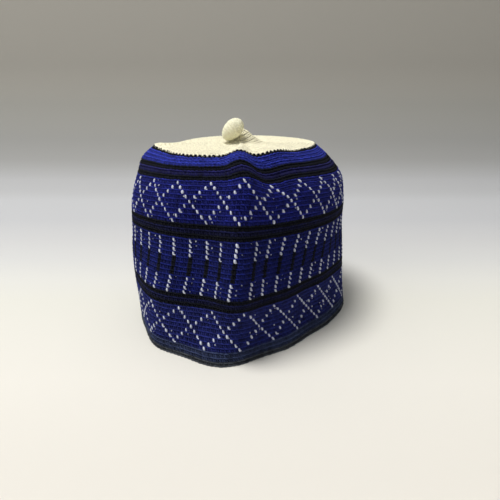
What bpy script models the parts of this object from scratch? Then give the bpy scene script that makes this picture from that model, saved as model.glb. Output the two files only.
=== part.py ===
"""A crocheted brimless cap with a ball on top, worked in rounds from the crown down to the rim.

Metres, +Z up. The rim stands on Z = 0, with the middle of the cap's plan at X = Y = 0.
The front crease of the side faces -Y. Azimuths are in degrees from the front, counted towards +X.
"""

import math

import bmesh
import bpy
import numpy as np
from mathutils import Vector

# The fabric: the wall that the crochet makes, and the gap left between neighbouring solids
WALL = 0.0030
GAP = 0.0003
ROUND_HEIGHT = 0.0030

# How many rounds to each side the wall's direction is taken over
NORMAL_STEP = 1.2

# Facets round the cap, in degrees: half as wide within FINE_REACH of the front crease
FACET_TURN = 5.0
FINE_REACH = 25.0

# Each band of the side, from one round to another, counted up from the rim, and its rows of facets
BANDS = (
    # name, first_round, last_round, rows
    ("hem_band", 0, 3, 1),
    ("lower_diamond_band", 3, 12, 3),
    ("lower_stripes", 12, 15, 1),
    ("dash_band", 15, 27, 4),
    ("middle_stripes", 27, 30, 1),
    ("upper_diamond_band", 30, 39, 3),
    ("shoulder_stripes", 39, 42, 2),
    ("shoulder_band", 42, 46, 2),
)
SIDE_ROUNDS = 46

# The side in plan, a row for each level: an oval whose long axis is turned by OVAL_TURN
OVAL_TURN = -18.0
SECTIONS = (
    # round, height, radius, centre_x, centre_y, oval
    (0, 0.0000, 0.0900, 0.0015, -0.0030, 0.070),
    (8, 0.0235, 0.0883, -0.0005, -0.0022, 0.060),
    (16, 0.0463, 0.0872, -0.0005, -0.0021, 0.070),
    (24, 0.0700, 0.0873, 0.0007, -0.0010, 0.100),
    (32, 0.0920, 0.0873, 0.0014, -0.0003, 0.110),
    (39.5, 0.1125, 0.0827, 0.0002, 0.0011, 0.120),
    (41.9, 0.1202, 0.0789, -0.0027, 0.0023, 0.130),
    (46, 0.1282, 0.0703, -0.0039, 0.0035, 0.150),
)

# Folds and dents of the side, each fading out over its half width and over its reach in rounds.
# A fold's lift fades out towards the rim, which stays flat on the surface.
LIFT_FROM = 8
FOLDS = (
    # azimuth, half_width, round, reach, out, up
    (5, 60, 16, 9, 0.006, 0.000),
    (0, 60, 36, 8, 0.006, 0.006),
    (-1, 8, 20, 16, 0.017, 0.003),
    (2.0, 4.6, 42.5, 6, 0.0118, 0.006),
    (10, 8, 40, 8, 0.002, -0.0025),
    (18, 12, 46, 3, 0.003, 0.003),
    (-10, 12, -1, 10, 0.014, 0.000),
    (14, 16, -1, 8, 0.003, 0.000),
    (-33, 14, 4, 16, 0.010, 0.000),
    (-60, 16, 24, 14, 0.004, 0.000),
    (-45, 16, 45, 6, -0.0045, 0.001),
    (34, 15, 10, 15, -0.008, 0.000),
    (57, 15, 10, 14, -0.005, 0.000),
    (180, 70, 46, 8, -0.0007, 0.0038),
    (-74, 26, 46, 4, -0.0020, 0.0036),
    (-112, 30, 46, 6, -0.0005, -0.0016),
    (85, 25, 46, 5, -0.0012, 0.001),
    (45, 20, 46, 5, -0.0012, 0.0012),
)

# The crown: rounds decreasing to its middle, on a low dome drawn up into a small tent under the ball
CROWN_ROUNDS = 22
CROWN_RINGS = (0.0, 0.20, 0.42, 0.62, 0.75, 0.84, 0.91, 0.96)
CROWN_OFF_CENTRE = (0.0030, 0.0)
CROWN_DOME = 0.0025
PEAK_HEIGHT = 0.0114
PEAK_RADIUS = 0.0109

# The ball: an egg leaning on the peak's front and left, with its blunt end up
BALL_LENGTH = 0.0202
BALL_WIDTH = 0.0146
BALL_BLUNTNESS = 0.10
BALL_FROM_PEAK = (-0.0068, -0.0140, -0.0003)
BALL_AXIS = (0.72, 0.10, 0.68)
BALL_SEGMENTS = 16
BALL_RINGS = 10

# Each yarn's colour, and the one that each piece is mostly worked in
COLOURS = {
    "cream_yarn": (0.90, 0.86, 0.66),
    "blue_yarn": (0.020, 0.022, 0.18),
    "black_yarn": (0.010, 0.012, 0.018),
    "navy_yarn": (0.018, 0.020, 0.040),
}
YARN_ROUGHNESS = 0.9
SHARP_FROM = math.radians(50)
BAND_YARN = {
    "hem_band": "navy_yarn",
    "lower_diamond_band": "blue_yarn",
    "lower_stripes": "black_yarn",
    "dash_band": "blue_yarn",
    "middle_stripes": "black_yarn",
    "upper_diamond_band": "blue_yarn",
    "shoulder_stripes": "black_yarn",
    "shoulder_band": "blue_yarn",
    "crown_disc": "cream_yarn",
    "top_knob": "cream_yarn",
}


def clear_scene():
    for obj in list(bpy.data.objects):
        bpy.data.objects.remove(obj, do_unlink=True)


def facet_azimuths():
    coarse = np.arange(-180, 180, FACET_TURN)
    fine = np.arange(-FINE_REACH, FINE_REACH, FACET_TURN) + FACET_TURN / 2
    return sorted(float(azimuth) for azimuth in (*coarse, *fine))


AZIMUTHS = facet_azimuths()


def section_at(level):
    """Height, radius, centre and oval of the side at a level, on smooth curves through SECTIONS."""
    table = np.array(SECTIONS, float)
    knots = table[:, 0]
    values = table[:, 1:]
    slopes = np.gradient(values, knots, axis=0)
    place = int(np.clip(np.searchsorted(knots, level, side="right") - 1, 0, len(knots) - 2))
    span = knots[place + 1] - knots[place]
    t = (level - knots[place]) / span
    start = values[place] * (1 + 2 * t) * (1 - t) ** 2
    end = values[place + 1] * (3 - 2 * t) * t**2
    bend = slopes[place] * t * (1 - t) ** 2 - slopes[place + 1] * (1 - t) * t**2
    return start + end + bend * span


def side_point(level, azimuth):
    """A point of the side's outer face, at a round counted up from the rim."""
    height, radius, centre_x, centre_y, oval = section_at(level)
    out = radius * (1 + oval * math.cos(math.radians(2 * (azimuth - OVAL_TURN))))
    for fold_azimuth, half_width, fold_round, reach, fold_out, fold_up in FOLDS:
        turn = (azimuth - fold_azimuth + 180) % 360 - 180
        strength = math.exp(-((turn / half_width) ** 2) - ((level - fold_round) / reach) ** 2)
        out += fold_out * strength
        height += fold_up * strength * min(1, max(0, level / LIFT_FROM))
    angle = math.radians(azimuth)
    return Vector((centre_x + out * math.sin(angle), centre_y - out * math.cos(angle), height))


def crown_middle():
    """The middle of the crown at the height of its edge, under the peak."""
    height, _, centre_x, centre_y, _ = section_at(SIDE_ROUNDS)
    off_x, off_y = CROWN_OFF_CENTRE
    return Vector((centre_x + off_x, centre_y + off_y, height))


def surface_point(level, azimuth):
    """A point of the outer face of the side, or of the crown where the level is past the last round."""
    if level <= SIDE_ROUNDS:
        return side_point(level, azimuth)
    inward = min(1, (level - SIDE_ROUNDS) / CROWN_ROUNDS)
    middle = crown_middle()
    point = side_point(SIDE_ROUNDS, azimuth).lerp(middle, inward)
    from_middle = math.hypot(point.x - middle.x, point.y - middle.y)
    point.z += CROWN_DOME * (1 - (1 - inward) ** 2)
    point.z += PEAK_HEIGHT * math.exp(-((from_middle / PEAK_RADIUS) ** 2))
    return point


def inner_point(level, azimuth):
    """The point of the wall's inner face behind the outer one. At the rim it stays level."""
    step = NORMAL_STEP
    turn = FACET_TURN / 2
    up = surface_point(level + step, azimuth) - surface_point(max(0, level - step), azimuth)
    along = surface_point(level, azimuth + turn) - surface_point(level, azimuth - turn)
    normal = along.cross(up)
    if level == 0:
        normal.z = 0
    return surface_point(level, azimuth) - WALL * normal.normalized()


def band_levels(first, last, rows):
    """The levels of a band's rings, with half a gap left at each end that meets another piece."""
    half_gap = GAP / 2 / ROUND_HEIGHT
    start = first + (half_gap if first > 0 else 0)
    return np.linspace(start, last - half_gap, rows + 1)


def plan_middle():
    """The middle of the cap's box in plan, from which its places are counted."""
    levels = [level for _, first, last, rows in BANDS for level in band_levels(first, last, rows)]
    points = [side_point(level, azimuth) for level in levels for azimuth in AZIMUTHS]
    xs = [point.x for point in points]
    ys = [point.y for point in points]
    return Vector(((min(xs) + max(xs)) / 2, (min(ys) + max(ys)) / 2, 0))


def material(name):
    yarn = bpy.data.materials.new(name)
    yarn.use_nodes = True
    shader = yarn.node_tree.nodes["Principled BSDF"]
    shader.inputs["Base Color"].default_value = (*COLOURS[name], 1)
    shader.inputs["Roughness"].default_value = YARN_ROUGHNESS
    shader.inputs["Metallic"].default_value = 0
    yarn.diffuse_color = (*COLOURS[name], 1)
    return yarn


def add_object(name, shape, yarns):
    """Makes a smooth-shaded object of the shape, with the yarn that the piece is worked in."""
    bmesh.ops.recalc_face_normals(shape, faces=shape.faces)
    mesh = bpy.data.meshes.new(name)
    shape.to_mesh(mesh)
    shape.free()
    mesh.shade_smooth()
    mesh.set_sharp_from_angle(angle=SHARP_FROM)
    mesh.materials.append(yarns[BAND_YARN[name]])
    obj = bpy.data.objects.new(name, mesh)
    bpy.context.scene.collection.objects.link(obj)
    return obj


def ring_of(shape, point_at, level, middle):
    return [shape.verts.new(point_at(level, azimuth) - middle) for azimuth in AZIMUTHS]


def join_rings(shape, rings):
    for lower, upper in zip(rings, rings[1:]):
        for column in range(len(lower)):
            after = (column + 1) % len(lower)
            shape.faces.new((lower[column], lower[after], upper[after], upper[column]))


def close_end(shape, outer, inner):
    """Closes the wall's end in triangles that slant the same way on both pieces that meet there."""
    for column in range(len(outer)):
        after = (column + 1) % len(outer)
        shape.faces.new((outer[column], outer[after], inner[after]))
        shape.faces.new((outer[column], inner[after], inner[column]))


def band(first, last, rows, middle):
    """A band of the side as a closed wall."""
    levels = band_levels(first, last, rows)
    shape = bmesh.new()
    outer = [ring_of(shape, surface_point, level, middle) for level in levels]
    inner = [ring_of(shape, inner_point, level, middle) for level in levels]
    join_rings(shape, outer)
    join_rings(shape, inner)
    close_end(shape, outer[0], inner[0])
    close_end(shape, outer[-1], inner[-1])
    return shape


def crown(middle):
    """The crown as a closed wall that drops from its middle to its edge."""
    edge = SIDE_ROUNDS + GAP / ROUND_HEIGHT
    levels = [edge + inward * CROWN_ROUNDS for inward in CROWN_RINGS]
    shape = bmesh.new()
    outer = [ring_of(shape, surface_point, level, middle) for level in levels]
    inner = [ring_of(shape, inner_point, level, middle) for level in levels]
    join_rings(shape, outer)
    join_rings(shape, inner)
    close_end(shape, outer[0], inner[0])
    top = shape.verts.new(surface_point(SIDE_ROUNDS + CROWN_ROUNDS, 0) - middle)
    under = shape.verts.new(top.co - Vector((0, 0, WALL)))
    for column in range(len(AZIMUTHS)):
        after = (column + 1) % len(AZIMUTHS)
        shape.faces.new((outer[-1][column], outer[-1][after], top))
        shape.faces.new((inner[-1][after], inner[-1][column], under))
    return shape


def ball():
    """The egg about its own middle, along +Z, blunt end up."""
    shape = bmesh.new()
    bmesh.ops.create_uvsphere(shape, u_segments=BALL_SEGMENTS, v_segments=BALL_RINGS, radius=1)
    for vertex in shape.verts:
        swell = 1 + BALL_BLUNTNESS * vertex.co.z
        vertex.co.x *= swell * BALL_WIDTH / 2
        vertex.co.y *= swell * BALL_WIDTH / 2
        vertex.co.z *= BALL_LENGTH / 2
    return shape


def build():
    clear_scene()
    yarns = {name: material(name) for name in COLOURS}
    middle = plan_middle()
    for name, first, last, rows in BANDS:
        add_object(name, band(first, last, rows, middle), yarns)
    add_object("crown_disc", crown(middle), yarns)
    knob = add_object("top_knob", ball(), yarns)
    peak = surface_point(SIDE_ROUNDS + CROWN_ROUNDS, 0) - middle
    knob.rotation_euler = Vector(BALL_AXIS).to_track_quat("Z", "Y").to_euler()
    knob.location = peak + Vector(BALL_FROM_PEAK)


build()
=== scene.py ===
"""The looks of a tapestry crochet cap: every stitch as strands of yarn on a thin cloth.

Metres, +Z up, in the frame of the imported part. The front crease of the side faces -Y.
A level is counted in rounds of crochet up from the rim, and past the side it goes in over the crown.
"""

import math

import bpy
import numpy as np
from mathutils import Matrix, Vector


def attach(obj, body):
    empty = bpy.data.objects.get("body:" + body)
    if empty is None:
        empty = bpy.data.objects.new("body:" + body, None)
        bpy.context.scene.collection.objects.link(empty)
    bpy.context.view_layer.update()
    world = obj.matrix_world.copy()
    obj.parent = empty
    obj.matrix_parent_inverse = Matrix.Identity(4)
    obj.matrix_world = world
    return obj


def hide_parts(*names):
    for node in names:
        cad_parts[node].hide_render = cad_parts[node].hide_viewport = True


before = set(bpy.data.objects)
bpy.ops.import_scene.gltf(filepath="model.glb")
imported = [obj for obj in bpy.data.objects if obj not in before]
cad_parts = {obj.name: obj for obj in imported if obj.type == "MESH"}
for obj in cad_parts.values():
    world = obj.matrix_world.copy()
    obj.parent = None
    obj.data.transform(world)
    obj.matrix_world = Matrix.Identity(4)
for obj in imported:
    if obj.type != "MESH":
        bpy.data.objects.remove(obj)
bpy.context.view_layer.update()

# The cap's form, as the part has it, but for the folds at -74 and -112, which are 0.6 mm shallower here
WALL = 0.0030
SIDE_ROUNDS = 46
OVAL_TURN = -18.0
SECTIONS = (
    # round, height, radius, centre_x, centre_y, oval
    (0, 0.0000, 0.0900, 0.0015, -0.0030, 0.070),
    (8, 0.0235, 0.0883, -0.0005, -0.0022, 0.060),
    (16, 0.0463, 0.0872, -0.0005, -0.0021, 0.070),
    (24, 0.0700, 0.0873, 0.0007, -0.0010, 0.100),
    (32, 0.0920, 0.0873, 0.0014, -0.0003, 0.110),
    (39.5, 0.1125, 0.0827, 0.0002, 0.0011, 0.120),
    (41.9, 0.1202, 0.0789, -0.0027, 0.0023, 0.130),
    (46, 0.1282, 0.0703, -0.0039, 0.0035, 0.150),
)
LIFT_FROM = 8
FOLDS = (
    # azimuth, half_width, round, reach, out, up
    (5, 60, 16, 9, 0.006, 0.000),
    (0, 60, 36, 8, 0.006, 0.006),
    (-1, 8, 20, 16, 0.017, 0.003),
    (2.0, 4.6, 42.5, 6, 0.0118, 0.006),
    (10, 8, 40, 8, 0.002, -0.0025),
    (18, 12, 46, 3, 0.003, 0.003),
    (-10, 12, -1, 10, 0.014, 0.000),
    (14, 16, -1, 8, 0.003, 0.000),
    (-33, 14, 4, 16, 0.010, 0.000),
    (-60, 16, 24, 14, 0.004, 0.000),
    (-45, 16, 45, 6, -0.0045, 0.001),
    (34, 15, 10, 15, -0.008, 0.000),
    (57, 15, 10, 14, -0.005, 0.000),
    (180, 70, 46, 8, -0.0007, 0.0038),
    (-74, 26, 46, 4, -0.0020, 0.0030),
    (-112, 30, 46, 6, -0.0005, -0.0010),
    (85, 25, 46, 5, -0.0012, 0.001),
    (45, 20, 46, 5, -0.0012, 0.0012),
)
# The middle of the cap's plan box, which the part moves to X = Y = 0
PLAN_MIDDLE = (0.000820, -0.010764, 0.0)
CROWN_ROUNDS = 22
CROWN_OFF_CENTRE = (0.0030, 0.0)
CROWN_DOME = 0.0025
PEAK_HEIGHT = 0.0114
PEAK_RADIUS = 0.0109
BALL_LENGTH = 0.0202
BALL_WIDTH = 0.0146
BALL_BLUNTNESS = 0.10
BALL_FROM_PEAK = (-0.0068, -0.0140, -0.0003)
BALL_AXIS = (0.72, 0.10, 0.68)
# How finely the form is read, in rounds, in degrees and in points of a round
LEVEL_STEP = 0.25
AZIMUTH_STEP = 0.25
SHARES_PER_COLUMN = 8
BALL_AZIMUTH_STEP = 2.0
BALL_SHARES = 180

YARNS = (
    "blue", "shaded_blue", "soft_blue", "lit_blue", "violet", "deep_blue", "black", "white", "cream", "lit_cream",
    "navy", "slate",
)
(
    BLUE, SHADED_BLUE, SOFT_BLUE, LIT_BLUE, VIOLET, DEEP_BLUE, BLACK, WHITE, CREAM, LIT_CREAM,
    NAVY, SLATE,
) = range(len(YARNS))

# The crochet
COLUMNS = 193
LEAN = (
    # round, stitches that the motif's column stands right of the crease
    (0, -5.25),
    (3.5, -4.59),
    (11.5, -2.93),
    (15.5, -2.47),
    (18.5, -2.00),
    (26.5, -1.04),
    (30.5, -0.75),
    (38.5, 0.47),
    (46, 1.60),
)
BANDS = (
    # node, first_round, last_round, join_column, first motif column
    ("hem_band", 0, 3, 5, 0),
    ("lower_diamond_band", 3, 12, 5, 4),
    ("lower_stripes", 12, 15, 4, 0),
    ("dash_band", 15, 27, 2, 0),
    ("middle_stripes", 27, 30, 1, 0),
    ("upper_diamond_band", 30, 39, 96, 0),
    ("shoulder_stripes", 39, 42, 1, 0),
    ("shoulder_band", 42, 46, 1, 0),
)
# The dash band's blue is darker, as painted shade on the middle of the side; the lower diamond band's is lighter
# and greyer
BAND_BLUE = {"dash_band": SHADED_BLUE, "lower_diamond_band": SOFT_BLUE}
DIAMOND_REPEAT = 8
DASH_REPEAT = 4
BLACK_DASH_ROWS = range(4, 8)
# Right of the crease the upper diamonds stand wider apart at their feet than at their tops
SPREAD_BAND = "upper_diamond_band"
SPREAD = 0.85
SPREAD_COLUMNS = 8
SPREAD_FADE = 40
SHOULDER_STITCHES = (190, 178, 164, 150)
CROWN_FIRST_STITCHES = 144
CROWN_LAST_STITCHES = 6
BALL_ROUNDS = 13
BALL_STITCH = 0.0021
BALL_LEAST_STITCHES = 5
BALL_STRAND_SIZE = 0.8
BALL_SINK = 0.0004
BALL_DEPTH = 0.0005

# The strands of yarn that show in one stitch, in stitch widths and rounds from the middle of its foot
GROUND = (
    # foot_x, foot_y, top_x, top_y, bow_x, bow_y, radius, thin_end, sink, rings, sides
    (0.12, 0.12, -0.20, 0.62, -0.03, 0.00, 0.00068, 0.60, -0.00058, 5, 5),
    (0.60, 0.12, 0.30, 0.60, 0.03, 0.00, 0.00066, 0.60, -0.00064, 4, 4),
    (-0.32, 0.96, 0.72, 0.84, 0.00, 0.04, 0.00056, 0.60, -0.00036, 4, 4),
)
# A white stitch of a motif takes the first strand's place, and some show a little of a second leg
MOTIF = ((0.19, 0.04, -0.17, 0.87, 0.00, 0.00, 0.00070, 0.30, -0.00046, 6, 5),)
MOTIF_SIZE = 1.08
MOTIF_SIZE_JITTER = 0.10
FORK = ((0.16, 0.10, 0.50, 0.24, 0.02, 0.00, 0.00046, 0.60, -0.00036, 4, 5),)
FORK_SHARE = 0.35
FORK_SHARE_IN_DASHES = 0.8
# The last round of the side, whose loops stand up against the crown as a row of beads
EDGE = (
    (0.02, 0.08, -0.36, 0.74, -0.03, 0.00, 0.00070, 0.50, -0.00072, 5, 5),
    (0.14, 0.08, 0.44, 0.72, 0.03, 0.00, 0.00066, 0.50, -0.00080, 4, 5),
    (-0.26, 0.86, 0.26, 0.82, 0.00, 0.17, 0.00066, 0.60, -0.00046, 6, 5),
)
# The first round of the crown, which comes down between those beads
FIRST = (
    (-0.02, -0.12, -0.30, 0.74, -0.03, 0.00, 0.00076, 0.75, -0.00040, 6, 5),
    (0.04, -0.10, 0.36, 0.72, 0.03, 0.00, 0.00072, 0.75, -0.00044, 6, 5),
    (-0.32, 0.95, 0.72, 0.87, 0.00, 0.04, 0.00054, 0.55, -0.00030, 4, 4),
)
# The rim's edge, and a glimpse of the white yarn that is carried along behind the blue
RIM = ((-0.34, 0.17, 0.74, 0.17, 0.00, 0.03, 0.00056, 0.60, -0.00020, 4, 5),)
SPECK = ((0.46, 0.34, 0.38, 0.68, 0.00, 0.00, 0.00052, 0.50, -0.00066, 4, 5),)
SPECK_SHARE = 0.03
SPECK_SHARE_BESIDE = 0.25
STRAND_ARC = math.radians(215)
STRAND_DIP = 0.0007
# The arch of a strand, which is lowest at its ends and highest a little nearer its foot than its top
ARCH_START = 0.08
ARCH_SPAN = 0.84
ARCH_LEAN = 0.85
ARCH_FULLNESS = 0.7
# How uneven the hand's work is: in stitch widths, rounds, metres and shares of the thickness
SIDEWAYS_JITTER = 0.05
UPWARD_JITTER = 0.03
OUTWARD_JITTER = 0.00006
THICKNESS_JITTER = 0.07
THICK_COLUMN_SIZE = 1.25
WIDE_BLACK_SIZE = 1.25
CLOTH_DEPTH = 0.00125
RIDGE_HEIGHT = 0.0006
ROWS_PER_ROUND = 2
INSIDE_RIDGE = 0.0004
INSIDE_STEP = 0.5

# The yarns' looks
COLOURS = {
    # linear red, green, blue
    "blue": (0.0075, 0.0110, 0.126),
    # The next blue has painted shade, for the dash band on the middle of the side
    "shaded_blue": (0.0055, 0.0095, 0.096),
    "soft_blue": (0.0105, 0.0150, 0.105),
    # The next blue has painted light, for the shoulder, which faces the light above
    "lit_blue": (0.016, 0.025, 0.235),
    "violet": (0.0085, 0.0085, 0.062),
    "deep_blue": (0.0046, 0.0058, 0.033),
    "black": (0.0036, 0.0045, 0.0090),
    "white": (0.60, 0.63, 0.75),
    "cream": (0.91, 0.855, 0.655),
    # The next cream is the crown's cream with painted light, for the ball
    "lit_cream": (0.97, 0.91, 0.695),
    "navy": (0.026, 0.036, 0.086),
    "slate": (0.040, 0.045, 0.055),
}
PALE = ("white", "cream", "lit_cream")
BRIGHTEST = 0.98
ROUGHNESS = 0.85
SPECULAR = 0.12
SHEEN = {"black": 0.02, "white": 0.06, "cream": 0.06, "lit_cream": 0.06, "navy": 0.06, "slate": 0.06}
SHEEN_OF_BLUES = 0.045
SHEEN_ROUGHNESS = 0.45
SHEEN_TINT = (0.75, 0.8, 1.0, 1.0)
# How far a stitch's colour strays from its yarn's, and how much of that is the strand's own
UNEVEN = 0.45
UNEVEN_PALE = 0.10
UNEVEN_FROM = 0.35
ISLAND_SHARE = 0.45
STITCH_NOISE = (260, 3)  # scale, detail
# Clouds of lighter and darker cloth
CLOUD_NOISE = (28, 4)
CLOUD_RANGE = (0.3, 0.7)
CLOUD_LIGHT = 1.05
CLOUD_DARK = 0.82
CLOUD_DARK_PALE = 0.96
# Painted shade darkens a strand towards its sides, and painted light makes the dark yarns' top loops lighter than
# their legs
SIDE_REACH = 0.45
SIDE_SHADE = {"cream": 0.78, "lit_cream": 0.96, "white": 0.60}
SIDE_SHADE_OF_REST = 0.45
# Painted light on the dark yarns' top loops, which catch the light from above
LOOP_LIGHT = 1.75
LOOPS_FROM = (0.99, 1.01)  # the place across the yarn that parts legs from loops
# The plies wind round a strand, and fine fibres lie over them
PLY_SLANT = 0.6
PLY_TURNS = 3.5
PLY_BUMP = (0.5, 0.00012)  # strength, distance
FIBRE_NOISE = (2600, 2)
FIBRE_BUMP = (0.6, 0.0002)

# The camera, from the photograph
LENS = 32.4
SENSOR = 36.0
CAMERA = (0.00555, -0.36447, 0.1585)
PITCH_DOWN = math.radians(17.69)
CLIP = (0.01, 20)

# The light: soft, from above, the left and the front
LIGHTS = (
    # name, place, size, power
    ("key", (-0.68, -0.30, 2.6), 1.0, 60.0),
    ("front_left", (-2.0, -1.5, 1.8), 2.0, 14.0),
    ("above", (0.3, 0.2, 2.9), 2.2, 9.0),
)
LIGHT_COLOUR = (1.0, 0.985, 0.95)
LIGHT_TARGET = (0, 0, 0.05)
WORLD_COLOUR = (0.95, 0.97, 1.0, 1)
WORLD_STRENGTH = 0.24

# The stage: a floor that sweeps up into a wall
# The paper's colours along its depth hold painted light and shade, darkening towards the back
BACKDROP = (
    # distance behind the cap, red, green, blue
    (-0.60, 0.72, 0.69, 0.64),
    (-0.19, 0.74, 0.715, 0.665),
    (-0.117, 0.77, 0.75, 0.70),
    (0.00, 0.73, 0.725, 0.675),
    (0.05, 0.705, 0.705, 0.68),
    (0.11, 0.64, 0.645, 0.645),
    (0.184, 0.586, 0.59, 0.602),
    (0.288, 0.531, 0.54, 0.565),
    (0.436, 0.532, 0.542, 0.565),
    (0.58, 0.443, 0.448, 0.462),
    (0.646, 0.324, 0.324, 0.320),
    (0.69, 0.294, 0.293, 0.283),
    (0.735, 0.312, 0.306, 0.282),
    (0.75, 0.354, 0.338, 0.304),
)
STAGE_ROUGHNESS = 0.8
STAGE_SPECULAR = 0.2
STAGE_FRONT = -3.0
STAGE_BACK = 0.75
STAGE_TOP = 2.5
STAGE_HALF_WIDTH = 3.0
SWEEP_RADIUS = 0.25
SWEEP_STEPS = 12

rng = np.random.default_rng(7)
middle = np.array(PLAN_MIDDLE)


def section(levels):
    """Height, radius, middle and oval at each level, on smooth curves through the named sections."""
    table = np.array(SECTIONS, float)
    knots = table[:, 0]
    values = table[:, 1:]
    slopes = np.gradient(values, knots, axis=0)
    place = np.clip(np.searchsorted(knots, levels, side="right") - 1, 0, len(knots) - 2)
    span = (knots[place + 1] - knots[place])[:, None]
    t = (levels - knots[place])[:, None] / span
    start = values[place] * (1 + 2 * t) * (1 - t) ** 2
    end = values[place + 1] * (3 - 2 * t) * t**2
    bend = slopes[place] * t * (1 - t) ** 2 - slopes[place + 1] * (1 - t) * t**2
    return start + end + bend * span


def wall(levels, azimuths):
    """Points of the outer face, a row for each level and a column for each azimuth."""
    levels = np.asarray(levels, float)
    on_side = np.minimum(levels, SIDE_ROUNDS)
    azimuth = np.asarray(azimuths, float)[None, :]
    height, radius, centre_x, centre_y, oval = section(on_side).T[:, :, None]
    row = on_side[:, None]
    out = radius * (1 + oval * np.cos(np.radians(2 * (azimuth - OVAL_TURN))))
    lift = np.zeros_like(out)
    for fold_azimuth, half_width, fold_round, reach, fold_out, fold_up in FOLDS:
        turn = (azimuth - fold_azimuth + 180) % 360 - 180
        strength = np.exp(-((turn / half_width) ** 2) - ((row - fold_round) / reach) ** 2)
        out = out + fold_out * strength
        lift = lift + fold_up * strength * np.clip(row / LIFT_FROM, 0, 1)
    angle = np.radians(azimuth)
    points = np.stack((centre_x + out * np.sin(angle), centre_y - out * np.cos(angle), height + lift), -1)
    inward = np.clip((levels - SIDE_ROUNDS) / CROWN_ROUNDS, 0, 1)[:, None]
    centre = crown_middle()
    points += (centre - points) * inward[..., None]
    from_middle = np.hypot(points[..., 0] - centre[0], points[..., 1] - centre[1])
    points[..., 2] += CROWN_DOME * (1 - (1 - inward) ** 2)
    points[..., 2] += PEAK_HEIGHT * np.exp(-((from_middle / PEAK_RADIUS) ** 2))
    return points


def crown_middle():
    height, _, centre_x, centre_y, _ = section(np.array([float(SIDE_ROUNDS)]))[0]
    return np.array((centre_x + CROWN_OFF_CENTRE[0], centre_y + CROWN_OFF_CENTRE[1], height))


def unit(vectors):
    return vectors / np.maximum(np.linalg.norm(vectors, axis=-1, keepdims=True), 1e-12)


class Cloth:
    """A worked surface: points at even shares of each round, on a grid that can be read anywhere."""

    def __init__(self, points, levels, shares):
        """points is a closed ring at each level, which is read again at even shares of its length."""
        ring = np.concatenate((points, points[:, :1]), 1)
        steps = np.linalg.norm(np.diff(ring, axis=1), axis=2)
        length = np.concatenate((np.zeros((len(levels), 1)), np.cumsum(steps, 1)), 1)
        even = np.empty((len(levels), shares, 3))
        for row in range(len(levels)):
            at = np.arange(shares) / shares * length[row, -1]
            for axis in range(3):
                even[row, :, axis] = np.interp(at, length[row], ring[row, :, axis])
        along = np.roll(even, -1, 1) - np.roll(even, 1, 1)
        up = np.gradient(even, levels, axis=0)
        self.points = even
        self.normals = unit(np.cross(along, up))
        self.levels = levels
        self.shares = shares
        self.round_length = length[:, -1]

    def read(self, grid, level, share):
        """The grid's values at any level and share of the round, between its own points."""
        step = self.levels[1] - self.levels[0]
        row = np.clip((level - self.levels[0]) / step, 0, len(self.levels) - 1.0001)
        column = (share % 1.0) * self.shares
        r0 = row.astype(int)
        c0 = column.astype(int) % self.shares
        c1 = (c0 + 1) % self.shares
        fr = (row - r0)[..., None]
        fc = (column - np.floor(column))[..., None]
        low = grid[r0, c0] * (1 - fc) + grid[r0, c1] * fc
        high = grid[r0 + 1, c0] * (1 - fc) + grid[r0 + 1, c1] * fc
        return low * (1 - fr) + high * fr

    def at(self, level, share, out):
        """Points that stand out from the surface by out, and the surface's normals there."""
        level, share, out = np.broadcast_arrays(level, share, out)
        normal = unit(self.read(self.normals, level, share))
        return self.read(self.points, level, share) + normal * out[..., None], normal


class Shape:
    """Vertices, faces, their yarn and their place along the yarn, gathered into one mesh."""

    def __init__(self, floor=None):
        self.vertices, self.faces, self.yarns, self.uvs = [], [], [], []
        self.count = 0
        self.floor = floor

    def add_grids(self, points, yarn, uv=(0.0, 0.0), closed=False):
        """points is (grids, rows, columns, 3), and yarn one number for each grid or for each face."""
        grids, rows, columns, _ = points.shape
        if self.floor is not None:
            points[..., 2] = np.maximum(points[..., 2], self.floor)
        index = np.arange(grids * rows * columns).reshape(grids, rows, columns)
        right = np.roll(index, -1, 2) if closed else index[:, :, 1:]
        left = index if closed else index[:, :, :-1]
        quads = np.stack((left[:, :-1], right[:, :-1], right[:, 1:], left[:, 1:]), -1)
        if np.ndim(yarn) == 1:
            yarn = np.asarray(yarn).reshape(grids, 1, 1)
        self.yarns.append(np.broadcast_to(yarn, quads.shape[:3]).reshape(-1))
        quads = quads.reshape(-1, 4)
        self.vertices.append(points.reshape(-1, 3))
        self.faces.append(quads + self.count)
        uv = np.broadcast_to(uv, points.shape[:-1] + (2,)).reshape(-1, 2)
        self.uvs.append(uv[quads].reshape(-1, 2))
        self.count += grids * rows * columns

    def make(self, name, materials):
        vertices = np.concatenate(self.vertices)
        faces = np.concatenate(self.faces)
        yarns = np.concatenate(self.yarns)
        used = sorted(set(yarns.tolist()))
        mesh = bpy.data.meshes.new(name)
        mesh.vertices.add(len(vertices))
        mesh.vertices.foreach_set("co", vertices.astype(np.float32).ravel())
        mesh.loops.add(faces.size)
        mesh.loops.foreach_set("vertex_index", faces.astype(np.int32).ravel())
        mesh.polygons.add(len(faces))
        mesh.polygons.foreach_set("loop_start", np.arange(0, faces.size, 4, dtype=np.int32))
        for yarn in used:
            mesh.materials.append(materials[YARNS[yarn]])
        slot_of = np.zeros(len(YARNS), np.int32)
        slot_of[used] = np.arange(len(used))
        mesh.polygons.foreach_set("material_index", slot_of[yarns])
        layer = mesh.uv_layers.new(name="yarn")
        layer.uv.foreach_set("vector", np.concatenate(self.uvs).astype(np.float32).ravel())
        mesh.update(calc_edges=True)
        mesh.validate()
        mesh.shade_smooth()
        obj = bpy.data.objects.new(name, mesh)
        bpy.context.scene.collection.objects.link(obj)
        return obj


def lean(level):
    """How many stitches the motif's column stands right of the crease at a level."""
    table = np.array(LEAN, float)
    return np.interp(level, table[:, 0], table[:, 1])


def columns_from_crease():
    """The numbers of a round's columns: from 0 at the crease up to the right, and below 0 to the left."""
    return (np.arange(COLUMNS) + COLUMNS // 2) % COLUMNS - COLUMNS // 2


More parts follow.
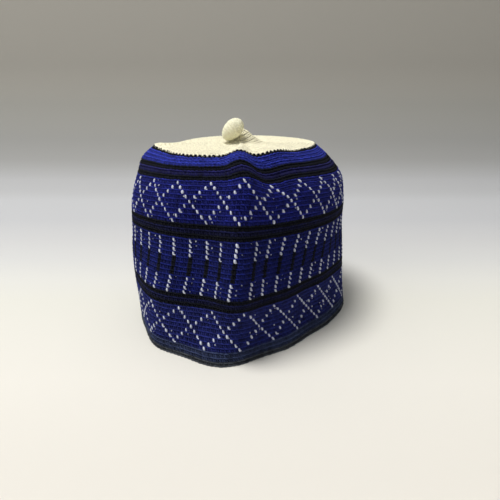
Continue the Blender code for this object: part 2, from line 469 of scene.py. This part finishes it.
def spread(first, last, level):
    """How many stitches each column of a round stands further right than an even share."""
    column = columns_from_crease()
    down = (last - 1 - level) / (last - 1 - first)
    to_back = np.clip((COLUMNS // 2 - column) / SPREAD_FADE, 0, 1)
    return SPREAD * down * np.clip(column / SPREAD_COLUMNS, 0, 1) * to_back


def chart_of(node, first, level, join, start):
    """Which yarn each stitch of a round is worked in, by its column from the motif's column; the dash band's blue
    carries painted shade and the shoulder's painted light.
    """
    column = columns_from_crease()
    motif = np.where(column > join, column - 1, column)
    row = level - first
    chart = np.full(COLUMNS, BAND_BLUE.get(node, BLUE))
    if node.endswith("stripes"):
        chart[:] = BLACK
        if row == 1:
            chart[:] = VIOLET if node == "shoulder_stripes" else DEEP_BLUE
    elif node == "hem_band":
        chart[:] = NAVY if row else SLATE
    elif node == "shoulder_band":
        # The shoulder's blue is painted lighter: painted light, where it faces the light above
        chart[:] = BLACK if row == 3 else LIT_BLUE
    elif node.endswith("diamond_band"):
        place = (motif - start) % DIAMOND_REPEAT
        worked = (place == row % DIAMOND_REPEAT) | (place == (DIAMOND_REPEAT - row) % DIAMOND_REPEAT)
        chart[worked & (column != join)] = WHITE
    else:
        worked = (motif % DASH_REPEAT == 0) & (column != join)
        chart[worked] = BLACK if row in BLACK_DASH_ROWS else WHITE
    return chart


def ground(chart):
    """The cloth under a white stitch is the band's own yarn, which is carried along behind it."""
    return np.where(chart == WHITE, chart[chart != WHITE][0], chart)


def arch_of(t):
    """How fully a strand stands out of the cloth along its length, t from 0 at its foot to 1."""
    return np.sin(np.pi * (ARCH_START + ARCH_SPAN * t**ARCH_LEAN)) ** ARCH_FULLNESS


def strands(shape, cloth, table, level, share, yarn, width, size=1.0):
    """The strands of each stitch of a round. width is a stitch's share of the round."""
    for foot_x, foot_y, top_x, top_y, bow_x, bow_y, radius, thin_end, sink, rings, sides in table:
        jitter = rng.normal(0, 1, (len(share), 5))
        t = np.linspace(0, 1, rings)[None, :]
        swell = np.sin(np.pi * t)
        foot = foot_x + SIDEWAYS_JITTER * jitter[:, 0:1]
        top = top_x + SIDEWAYS_JITTER * jitter[:, 1:2]
        x = foot + (top - foot) * t + bow_x * swell
        y = foot_y + UPWARD_JITTER * jitter[:, 2:3] + (top_y - foot_y) * t + bow_y * swell
        arch = arch_of(t)
        out = sink - STRAND_DIP * (1 - arch) + OUTWARD_JITTER * jitter[:, 3:4]
        thick = radius * size * (thin_end + (1 - thin_end) * arch) * (1 + THICKNESS_JITTER * jitter[:, 4:5])
        at_level = level + y
        slant = (lean(at_level) - lean(level + 0.5)) * (level < SIDE_ROUNDS)
        centre, normal = cloth.at(at_level, share[:, None] + (x + slant) * width, out)
        run = unit(np.gradient(centre, axis=1))
        side = unit(np.cross(run, normal))
        face = np.cross(side, run)
        turn = np.linspace(-STRAND_ARC / 2, STRAND_ARC / 2, sides)[None, None, :, None]
        ring = side[:, :, None] * np.sin(turn) + face[:, :, None] * np.cos(turn)
        points = centre[:, :, None] + ring * thick[..., None, None]
        # The material tells loops from legs by a place across the yarn that is above 1, and paints light on the
        # loops
        loop = abs(top_x - foot_x) > abs(top_y - foot_y)
        across = np.linspace(0, 1, sides) + loop
        uv = np.stack(np.broadcast_arrays(across[None, None, :], t[:, :, None]), -1)
        shape.add_grids(points, yarn, uv)


def base(shape, cloth, first, charts, depth=CLOTH_DEPTH):
    """The cloth behind the stitches, one strip a round, with a ridge of top loops between rounds."""
    rows = np.linspace(0, 1, ROWS_PER_ROUND + 1)
    ridge = np.abs(np.cos(np.pi * rows)) ** 3
    out = -depth + RIDGE_HEIGHT * ridge[:, None]
    for level, chart in enumerate(charts, first):
        stitches = len(chart)
        columns = np.arange(stitches) - 0.5
        at_level = level + rows[:, None]
        share = (columns[None, :] + lean(at_level)) / stitches
        points, _ = cloth.at(at_level, share, out)
        yarn = np.broadcast_to(ground(chart)[None, None, :], (1, ROWS_PER_ROUND, stitches))
        uv = np.stack(np.broadcast_arrays(columns[None, :] / 2, rows[:, None]), -1)[None]
        shape.add_grids(points[None], yarn, uv, closed=True)


def inside(shape, cloth, first, last, yarn):
    """The wrong side of the cloth, in ridges along its rounds."""
    rows = np.arange(first, last + 0.01, INSIDE_STEP)[:, None]
    share = np.arange(COLUMNS)[None, :] / COLUMNS
    points, _ = cloth.at(rows, share, -WALL - INSIDE_RIDGE * np.abs(np.sin(np.pi * rows)))
    shape.add_grids(points[None, ::-1], np.array([yarn]), closed=True)


def rim(shape, cloth, yarn):
    """The narrow underside of the rim, from the outside of the cloth to the inside."""
    share = np.arange(COLUMNS) / COLUMNS
    outer, _ = cloth.at(0.0, share, -CLOTH_DEPTH + RIDGE_HEIGHT)
    inner, _ = cloth.at(0.0, share, -WALL)
    shape.add_grids(np.stack((inner, outer))[None], np.array([yarn]), closed=True)


def side_round(shape, node, level, chart, share):
    """One round of the side: its stitches, and by its white ones their second legs and the specks."""
    stitches = len(chart)
    width = 1 / stitches

    def work(table, chosen, yarn, size=1.0):
        strands(shape, cap, table, level, share[chosen], yarn[chosen], width, size)

    table = EDGE if level == SIDE_ROUNDS - 1 else GROUND
    in_dashes = node == "dash_band"
    motif = chart == WHITE
    wide = (chart == BLACK) & in_dashes
    work(table, ~motif & ~wide, chart)
    work(table, wide, chart, WIDE_BLACK_SIZE)
    if motif.any():
        thick = motif & in_dashes & (np.arange(stitches) == 0)
        plain = motif & ~thick
        work(MOTIF, plain, chart, MOTIF_SIZE + MOTIF_SIZE_JITTER * rng.normal(0, 1, (plain.sum(), 1)))
        work(GROUND[1:], motif, ground(chart))
        fork_share = FORK_SHARE_IN_DASHES if in_dashes else FORK_SHARE
        work(FORK, motif & (rng.random(stitches) < fork_share), chart)
        work(MOTIF, thick, chart, THICK_COLUMN_SIZE)
        likely = np.where(np.roll(motif, 1), SPECK_SHARE_BESIDE, SPECK_SHARE)
        work(SPECK, ~motif & (rng.random(stitches) < likely), np.full(stitches, WHITE))
    if level == 0:
        work(RIM, np.full(stitches, True), chart)


def side_band(node, first, last, join, start):
    """One band of the side, as a piece of its own."""
    shape = Shape(floor=0.0)
    counts = SHOULDER_STITCHES if node == "shoulder_band" else (COLUMNS,) * (last - first)
    charts = []
    for level, stitches in enumerate(counts, first):
        chart = chart_of(node, first, level, join, start)[:stitches]
        charts.append(chart)
        share = (np.arange(stitches) + lean(level + 0.5)) / stitches
        if node == SPREAD_BAND:
            share += spread(first, last, level) / stitches
        side_round(shape, node, level, chart, share)
    base(shape, cap, first, charts)
    dark_inside = node.endswith("stripes") or node == "hem_band"
    inside(shape, cap, first, last, BLACK if dark_inside else BLUE)
    if first == 0:
        rim(shape, cap, NAVY)
    finish_piece(shape, node)


def crown():
    """The crown, worked in rounds towards its middle."""
    shape = Shape()
    counts = np.round(np.linspace(CROWN_FIRST_STITCHES, CROWN_LAST_STITCHES, CROWN_ROUNDS)).astype(int)
    charts = [np.full(count, CREAM) for count in counts]
    for number, count in enumerate(counts):
        share = (np.arange(count) + 0.5 * (number % 2) + lean(SIDE_ROUNDS)) / count
        table = GROUND if number else FIRST
        strands(shape, cap, table, SIDE_ROUNDS + number, share, charts[number], 1 / count)
    base(shape, cap, SIDE_ROUNDS, charts)
    inside(shape, cap, SIDE_ROUNDS, SIDE_ROUNDS + CROWN_ROUNDS - 1, CREAM)
    finish_piece(shape, "crown_disc")


def ball_cloth():
    """The ball's surface, an egg beside the crown's peak, which it doesn't touch."""
    levels = np.arange(0, BALL_ROUNDS + 0.01, LEVEL_STEP)
    polar = np.pi * (1 - levels / BALL_ROUNDS)
    around = np.radians(np.arange(0, 360, BALL_AZIMUTH_STEP))
    swell = 1 + BALL_BLUNTNESS * np.cos(polar)
    ring = np.maximum(np.sin(polar), 1e-3)[:, None] * BALL_WIDTH / 2 * swell[:, None]
    ring = ring - BALL_SINK * np.sin(polar)[:, None]
    rise = np.cos(polar)[:, None] * (BALL_LENGTH / 2 - BALL_SINK) * np.ones(len(around))
    egg = np.stack((ring * np.cos(around), ring * np.sin(around), rise), -1)
    turn = np.array(Vector(BALL_AXIS).to_track_quat("Z", "Y").to_matrix())
    peak = wall([float(SIDE_ROUNDS + CROWN_ROUNDS)], [0.0])[0, 0] - middle
    return Cloth(egg @ turn.T + peak + np.array(BALL_FROM_PEAK), levels, BALL_SHARES)


def ball():
    cloth = ball_cloth()
    shape = Shape()
    charts = []
    for level in range(BALL_ROUNDS):
        length = np.interp(level + 0.5, cloth.levels, cloth.round_length)
        count = max(BALL_LEAST_STITCHES, int(round(length / BALL_STITCH)))
        # The ball's cream has painted light, lighter than the crown's, to make up for the shade its small strands
        # cast on one another
        charts.append(np.full(count, LIT_CREAM))
        share = (np.arange(count) + 0.5 * (level % 2)) / count
        strands(shape, cloth, GROUND, level, share, charts[-1], 1 / count, BALL_STRAND_SIZE)
    base(shape, cloth, 0, charts, BALL_DEPTH)
    made = finish_piece(shape, "top_knob")


def finish_piece(shape, node):
    obj = shape.make(node + "_stitches", yarns)
    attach(obj, "root")
    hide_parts(node)
    return obj


def noise(tree, scale, detail):
    """A noise that lies in the object's own space, so that it's the same from every side."""
    where = tree.nodes.new("ShaderNodeTexCoord")
    made = tree.nodes.new("ShaderNodeTexNoise")
    made.inputs["Scale"].default_value = scale
    made.inputs["Detail"].default_value = detail
    tree.links.new(where.outputs["Object"], made.inputs["Vector"])
    return made.outputs["Fac"]


def maths(tree, operation, *inputs):
    """What a Math node makes of numbers and of other nodes' outputs."""
    made = tree.nodes.new("ShaderNodeMath")
    made.operation = operation
    for place, value in enumerate(inputs):
        if isinstance(value, (int, float)):
            made.inputs[place].default_value = value
        else:
            tree.links.new(value, made.inputs[place])
    return made.outputs["Value"]


def map_range(tree, value, source, target, smooth=False):
    made = tree.nodes.new("ShaderNodeMapRange")
    if smooth:
        made.interpolation_type = "SMOOTHSTEP"
    made.inputs["From Min"].default_value, made.inputs["From Max"].default_value = source
    made.inputs["To Min"].default_value, made.inputs["To Max"].default_value = target
    tree.links.new(value, made.inputs["Value"])
    return made.outputs["Result"]


def bump(tree, height, strength, distance):
    made = tree.nodes.new("ShaderNodeBump")
    made.inputs["Strength"].default_value = strength
    made.inputs["Distance"].default_value = distance
    tree.links.new(height, made.inputs["Height"])
    return made


def yarn_material(name):
    """Twisted yarn: its plies and fibres as bump, and its colour a little uneven from stitch to stitch."""
    made = bpy.data.materials.new(name + "_yarn")
    made.use_nodes = True
    tree = made.node_tree
    link = tree.links.new
    pale = name in PALE
    shader = tree.nodes["Principled BSDF"]
    shader.inputs["Roughness"].default_value = ROUGHNESS
    shader.inputs["Specular IOR Level"].default_value = SPECULAR
    shader.inputs["Sheen Weight"].default_value = SHEEN.get(name, SHEEN_OF_BLUES)
    shader.inputs["Sheen Roughness"].default_value = SHEEN_ROUGHNESS
    shader.inputs["Sheen Tint"].default_value = SHEEN_TINT

    # The colour of each strand
    island = tree.nodes.new("ShaderNodeNewGeometry")
    own = island.outputs["Random Per Island"]
    ramp = tree.nodes.new("ShaderNodeValToRGB")
    colour = np.array(COLOURS[name])
    uneven = UNEVEN_PALE if pale else UNEVEN
    dark, light = ramp.color_ramp.elements
    dark.position = UNEVEN_FROM
    dark.color = (*(colour * (1 - uneven)), 1)
    light.color = (*np.minimum(colour * (1 + uneven), BRIGHTEST), 1)
    link(maths(tree, "MULTIPLY_ADD", own, ISLAND_SHARE, noise(tree, *STITCH_NOISE)), ramp.inputs["Fac"])

    # Its tone, by the clouds, the painted shade at the strand's sides and the painted light on the loops
    place = tree.nodes.new("ShaderNodeUVMap")
    place.uv_map = "yarn"
    split = tree.nodes.new("ShaderNodeSeparateXYZ")
    link(place.outputs["UV"], split.inputs["Vector"])
    across, along = split.outputs["X"], split.outputs["Y"]
    cloud_tones = (CLOUD_DARK_PALE if pale else CLOUD_DARK, CLOUD_LIGHT)
    clouds = map_range(tree, noise(tree, *CLOUD_NOISE), CLOUD_RANGE, cloud_tones)
    # Painted shade: each strand darkens towards its sides
    from_side = maths(tree, "PINGPONG", across, 0.5)
    side_shade = SIDE_SHADE.get(name, SIDE_SHADE_OF_REST)
    sides = map_range(tree, from_side, (0.0, SIDE_REACH), (side_shade, 1.0), smooth=True)
    # Painted light: the dark yarns' top loops are lighter than their legs
    loops = map_range(tree, across, LOOPS_FROM, (1.0, 1.0 if pale else LOOP_LIGHT))
    shade = tree.nodes.new("ShaderNodeVectorMath")
    shade.operation = "SCALE"
    link(ramp.outputs["Color"], shade.inputs[0])
    link(maths(tree, "MULTIPLY", maths(tree, "MULTIPLY", clouds, sides), loops), shade.inputs["Scale"])
    link(shade.outputs["Vector"], shader.inputs["Base Color"])

    # The plies and the fibres
    slant = maths(tree, "MULTIPLY_ADD", across, PLY_SLANT, along)
    wave = maths(tree, "SINE", maths(tree, "MULTIPLY", slant, PLY_TURNS * 2 * math.pi))
    plies = bump(tree, wave, *PLY_BUMP)
    fibres = bump(tree, noise(tree, *FIBRE_NOISE), *FIBRE_BUMP)
    link(plies.outputs["Normal"], fibres.inputs["Normal"])
    link(fibres.outputs["Normal"], shader.inputs["Normal"])
    return made


def stage_material():
    """A plain pale paper with painted shade that darkens it towards the back, as the photograph's does."""
    made = bpy.data.materials.new("backdrop")
    made.use_nodes = True
    tree = made.node_tree
    shader = tree.nodes["Principled BSDF"]
    shader.inputs["Roughness"].default_value = STAGE_ROUGHNESS
    shader.inputs["Specular IOR Level"].default_value = STAGE_SPECULAR
    where = tree.nodes.new("ShaderNodeTexCoord")
    split = tree.nodes.new("ShaderNodeSeparateXYZ")
    tree.links.new(where.outputs["Object"], split.inputs["Vector"])
    near, far = BACKDROP[0][0], BACKDROP[-1][0]
    ramp = tree.nodes.new("ShaderNodeValToRGB")
    stops = ramp.color_ramp.elements
    stops.remove(stops[1])
    for number, (place, *colour) in enumerate(BACKDROP):
        at = (place - near) / (far - near)
        stop = stops.new(at) if number else stops[0]
        stop.position = at
        stop.color = (*colour, 1)
    tree.links.new(map_range(tree, split.outputs["Y"], (near, far), (0.0, 1.0)), ramp.inputs["Fac"])
    tree.links.new(ramp.outputs["Color"], shader.inputs["Base Color"])
    return made


def backdrop():
    """A floor that sweeps up into a wall behind the cap."""
    profile = [(STAGE_FRONT, 0.0), (0.0, 0.0)]
    for step in range(SWEEP_STEPS + 1):
        angle = math.radians(90 * step / SWEEP_STEPS)
        behind = STAGE_BACK - SWEEP_RADIUS + SWEEP_RADIUS * math.sin(angle)
        profile.append((behind, SWEEP_RADIUS - SWEEP_RADIUS * math.cos(angle)))
    profile.append((STAGE_BACK, STAGE_TOP))
    vertices = [(x, y, z) for x in (-STAGE_HALF_WIDTH, STAGE_HALF_WIDTH) for y, z in profile]
    count = len(profile)
    faces = [(i, i + 1, i + 1 + count, i + count) for i in range(count - 1)]
    mesh = bpy.data.meshes.new("backdrop")
    mesh.from_pydata(vertices, [], faces)
    mesh.shade_smooth()
    mesh.materials.append(stage_material())
    obj = bpy.data.objects.new("backdrop", mesh)
    bpy.context.scene.collection.objects.link(obj)


def area_light(name, place, size, power):
    data = bpy.data.lights.new(name, "AREA")
    data.shape = "DISK"
    data.size = size
    data.energy = power
    data.color = LIGHT_COLOUR
    obj = bpy.data.objects.new(name, data)
    obj.location = place
    obj.rotation_euler = (Vector(LIGHT_TARGET) - Vector(place)).to_track_quat("-Z", "Y").to_euler()
    bpy.context.scene.collection.objects.link(obj)


def sky():
    world = bpy.data.worlds.new("studio")
    bpy.context.scene.world = world
    world.use_nodes = True
    background = world.node_tree.nodes["Background"]
    background.inputs["Color"].default_value = WORLD_COLOUR
    background.inputs["Strength"].default_value = WORLD_STRENGTH


def place_camera():
    data = bpy.data.cameras.new("camera")
    data.lens = LENS
    data.sensor_width = SENSOR
    data.clip_start, data.clip_end = CLIP
    camera = bpy.data.objects.new("camera", data)
    camera.location = Vector(CAMERA) - Vector(middle)
    camera.rotation_euler = (math.pi / 2 - PITCH_DOWN, 0, 0)
    bpy.context.scene.collection.objects.link(camera)
    bpy.context.scene.camera = camera


levels = np.arange(0, SIDE_ROUNDS + CROWN_ROUNDS + 0.01, LEVEL_STEP)
points = wall(levels, np.arange(0, 360, AZIMUTH_STEP))
cap = Cloth(points - middle, levels, COLUMNS * SHARES_PER_COLUMN)
yarns = {name: yarn_material(name) for name in YARNS}
for band in BANDS:
    side_band(*band)
crown()
ball()

backdrop()
for light in LIGHTS:
    area_light(*light)
sky()
place_camera()
bpy.context.scene.view_settings.view_transform = "Standard"
bpy.context.scene.view_settings.look = "None"
